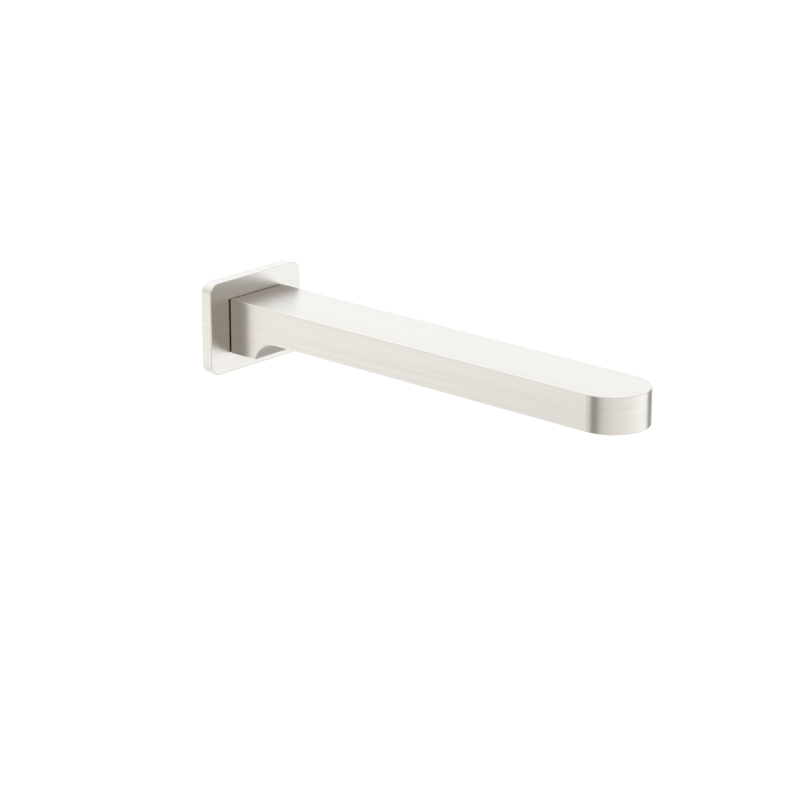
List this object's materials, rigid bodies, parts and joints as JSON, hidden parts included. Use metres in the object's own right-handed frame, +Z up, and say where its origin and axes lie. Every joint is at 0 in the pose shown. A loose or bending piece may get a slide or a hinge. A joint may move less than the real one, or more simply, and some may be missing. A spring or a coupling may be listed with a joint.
{
  "type": "wall mounted bath spout",
  "caption": "Wall-mounted bath spout: a long flat bar with a half-round nose and a deeper foot, on a rounded rectangular cover plate, with an aerator in its underside.",
  "frame": {"origin": "where the axis of the inlet thread meets the finished wall, in the plane of the cover plate's back", "axes": "+Z up; +Y into the wall, so the spout reaches out along -Y; +X to the right when facing the wall"},
  "size_m": [0.06, 0.251, 0.045],
  "materials": {
    "brushed_nickel": "satin",
    "brass": "satin",
    "stainless": "satin",
    "black_rubber": "matte",
    "black_foam": "matte",
    "grey_plastic": "satin",
    "white_plastic": "satin"
  },
  "bodies": {
    "spout": {"spout_body": "brushed_nickel", "cover_plate": "brushed_nickel", "wall_gasket": "black_foam", "inlet_nipple": "brass", "plate_o_ring": "black_rubber", "nipple_o_ring_rear": "black_rubber", "nipple_o_ring_front": "black_rubber", "spout_gasket": "black_rubber"},
    "grub_screw": {"grub_screw": "stainless"},
    "aerator_seal": {"aerator_washer": "black_rubber"},
    "aerator": {"aerator_housing": "grey_plastic", "aerator_honeycomb": "white_plastic", "aerator_fine_grid": "white_plastic", "aerator_core": "white_plastic", "aerator_jet_plate": "white_plastic", "aerator_strainer": "white_plastic"}
  },
  "joints": [
    {"name": "aerator_drop", "type": "slide", "parent": "spout", "child": "aerator_seal", "axis": [0, 0, -1], "range_m": [0, 0.007]},
    {"name": "aerator_turn", "type": "hinge", "parent": "aerator_seal", "child": "aerator", "pos_m": [0, -0.22, 0], "axis": [0, 0, -1], "range_deg": [0, 2520]},
    {"name": "grub_screw_travel", "type": "slide", "parent": "spout", "child": "grub_screw", "axis": [0, 0, -1], "range_m": [0, 0.0024]}
  ],
  "couplings": [
    {"joint": "aerator_drop", "follows": "aerator_turn", "m_per_rad": 0.00015915}
  ]
}
